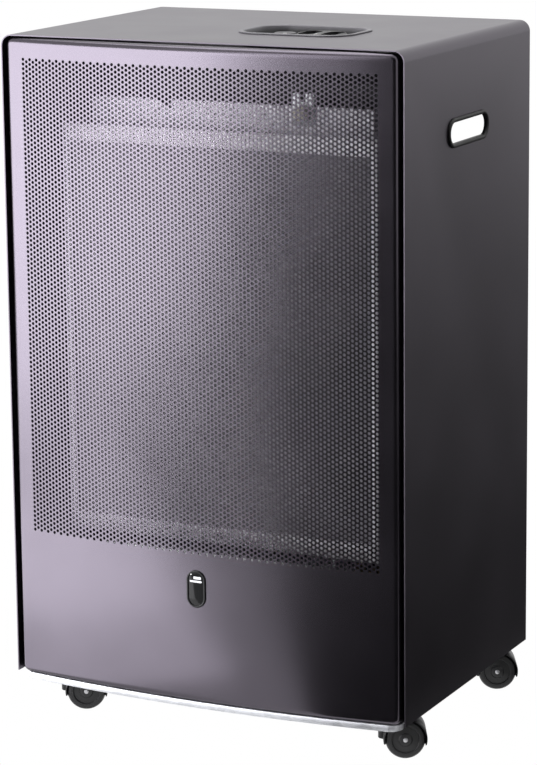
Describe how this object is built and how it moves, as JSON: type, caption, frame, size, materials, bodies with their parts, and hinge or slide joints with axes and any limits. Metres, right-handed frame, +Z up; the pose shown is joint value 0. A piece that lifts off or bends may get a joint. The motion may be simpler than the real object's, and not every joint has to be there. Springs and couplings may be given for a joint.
{
  "type": "portable gas cabinet heater",
  "caption": "Portable cabinet gas heater: bowed perforated steel front, sight window, top controls, side handle slots, bottle space behind a tilting rear cover, swivel casters.",
  "frame": {"origin": "on the floor, under the middle of the whole heater's box", "axes": "+Z up, the perforated front faces -Y, +X to the right seen from the front"},
  "size_m": [0.4778, 0.4334, 0.7475],
  "materials": {
    "painted_steel": "satin anthracite powder coat",
    "black_sheet": "matt black heat-resistant paint",
    "galvanised_steel": "galvanised sheet",
    "aluminised_steel": "aluminised sheet, semi-gloss",
    "ceramic": "ceramic, matt",
    "plain_steel": "zinc-plated steel",
    "brass": "machined brass",
    "copper_lead": "bright copper",
    "lead_insulation": "silicone sleeve",
    "gloss_black": "gloss black",
    "dark_glass": "clear, smoked by the dark behind it",
    "black_plastic": "fine textured black",
    "grey_plastic": "satin dark grey",
    "wheel_tread": "satin black nylon"
  },
  "bodies": {
    "cabinet": {"cabinet_wrap": "painted_steel", "front_panel": "painted_steel", "divider_panel": "black_sheet", "base_tray": "galvanised_steel", "cutout_bracket": "galvanised_steel", "burner_bracket_left": "galvanised_steel", "burner_bracket_right": "galvanised_steel", "pilot_stand": "galvanised_steel", "valve_bracket": "galvanised_steel", "heat_plate": "aluminised_steel", "rear_reflector": "aluminised_steel", "thermal_cutout": "ceramic", "ignition_electrode": "ceramic", "burner_tube": "plain_steel", "gas_pipe": "plain_steel", "thermocouple": "plain_steel", "hinge_pin_left": "plain_steel", "hinge_pin_right": "plain_steel", "injector_elbow": "brass", "pilot_burner": "brass", "gas_valve": "brass", "inlet_nipple": "brass", "thermocouple_lead": "copper_lead", "ignition_lead": "lead_insulation", "window_bezel": "gloss_black", "sight_glass": "dark_glass", "handle_grommet_right": "black_plastic", "handle_grommet_left": "black_plastic", "control_bezel": "grey_plastic", "piezo_igniter": "grey_plastic", "caster_stem_front_left": "plain_steel", "caster_stem_front_right": "plain_steel", "caster_stem_rear_left": "plain_steel", "caster_stem_rear_right": "plain_steel"},
    "rear_cover": {"rear_cover": "painted_steel", "cover_stud_left": "plain_steel", "cover_stud_right": "plain_steel"},
    "valve_spindle": {"valve_spindle": "plain_steel"},
    "control_knob": {"control_knob": "black_plastic"},
    "igniter_button": {"igniter_button": "black_plastic"},
    "caster_front_left": {"caster_hood_front_left": "black_plastic", "caster_axle_front_left": "plain_steel"},
    "wheel_outer_front_left": {"wheel_outer_front_left": "wheel_tread"},
    "wheel_inner_front_left": {"wheel_inner_front_left": "wheel_tread"},
    "caster_front_right": {"caster_hood_front_right": "black_plastic", "caster_axle_front_right": "plain_steel"},
    "wheel_outer_front_right": {"wheel_outer_front_right": "wheel_tread"},
    "wheel_inner_front_right": {"wheel_inner_front_right": "wheel_tread"},
    "caster_rear_left": {"caster_hood_rear_left": "black_plastic", "caster_axle_rear_left": "plain_steel"},
    "wheel_outer_rear_left": {"wheel_outer_rear_left": "wheel_tread"},
    "wheel_inner_rear_left": {"wheel_inner_rear_left": "wheel_tread"},
    "caster_rear_right": {"caster_hood_rear_right": "black_plastic", "caster_axle_rear_right": "plain_steel"},
    "wheel_outer_rear_right": {"wheel_outer_rear_right": "wheel_tread"},
    "wheel_inner_rear_right": {"wheel_inner_rear_right": "wheel_tread"}
  },
  "joints": [
    {"name": "rear_cover_tilt", "type": "hinge", "parent": "cabinet", "child": "rear_cover", "pos_m": [0, 0.1427, 0.047], "axis": [-1, 0, 0], "range_deg": [0, 38]},
    {"name": "knob_push", "type": "slide", "parent": "cabinet", "child": "valve_spindle", "axis": [0, 0, -1], "range_m": [0, 0.007], "stiffness_N_per_m": 600},
    {"name": "knob_turn", "type": "hinge", "parent": "valve_spindle", "child": "control_knob", "pos_m": [0.075, -0.0573, 0.7375], "axis": [0, 0, 1], "range_deg": [0, 180]},
    {"name": "igniter_push", "type": "slide", "parent": "cabinet", "child": "igniter_button", "axis": [0, 0, -1], "range_m": [0, 0.006], "stiffness_N_per_m": 500},
    {"name": "swivel_front_left", "type": "hinge", "parent": "cabinet", "child": "caster_front_left", "pos_m": [-0.192, -0.1583, 0.036], "axis": [0, 0, 1], "continuous": true},
    {"name": "roll_outer_front_left", "type": "hinge", "parent": "caster_front_left", "child": "wheel_outer_front_left", "pos_m": [-0.17418, -0.14922, 0.021], "axis": [-0.454, 0.891, 0], "continuous": true},
    {"name": "roll_inner_front_left", "type": "hinge", "parent": "caster_front_left", "child": "wheel_inner_front_left", "pos_m": [-0.17418, -0.14922, 0.021], "axis": [-0.454, 0.891, 0], "continuous": true},
    {"name": "swivel_front_right", "type": "hinge", "parent": "cabinet", "child": "caster_front_right", "pos_m": [0.192, -0.1583, 0.036], "axis": [0, 0, 1], "continuous": true},
    {"name": "roll_outer_front_right", "type": "hinge", "parent": "caster_front_right", "child": "wheel_outer_front_right", "pos_m": [0.20982, -0.14922, 0.021], "axis": [-0.454, 0.891, 0], "continuous": true},
    {"name": "roll_inner_front_right", "type": "hinge", "parent": "caster_front_right", "child": "wheel_inner_front_right", "pos_m": [0.20982, -0.14922, 0.021], "axis": [-0.454, 0.891, 0], "continuous": true},
    {"name": "swivel_rear_left", "type": "hinge", "parent": "cabinet", "child": "caster_rear_left", "pos_m": [-0.192, 0.0947, 0.036], "axis": [0, 0, 1], "continuous": true},
    {"name": "roll_outer_rear_left", "type": "hinge", "parent": "caster_rear_left", "child": "wheel_outer_rear_left", "pos_m": [-0.20982, 0.10378, 0.021], "axis": [-0.454, -0.891, 0], "continuous": true},
    {"name": "roll_inner_rear_left", "type": "hinge", "parent": "caster_rear_left", "child": "wheel_inner_rear_left", "pos_m": [-0.20982, 0.10378, 0.021], "axis": [-0.454, -0.891, 0], "continuous": true},
    {"name": "swivel_rear_right", "type": "hinge", "parent": "cabinet", "child": "caster_rear_right", "pos_m": [0.192, 0.0947, 0.036], "axis": [0, 0, 1], "continuous": true},
    {"name": "roll_outer_rear_right", "type": "hinge", "parent": "caster_rear_right", "child": "wheel_outer_rear_right", "pos_m": [0.20982, 0.10378, 0.021], "axis": [-0.454, 0.891, 0], "continuous": true},
    {"name": "roll_inner_rear_right", "type": "hinge", "parent": "caster_rear_right", "child": "wheel_inner_rear_right", "pos_m": [0.20982, 0.10378, 0.021], "axis": [-0.454, 0.891, 0], "continuous": true}
  ]
}
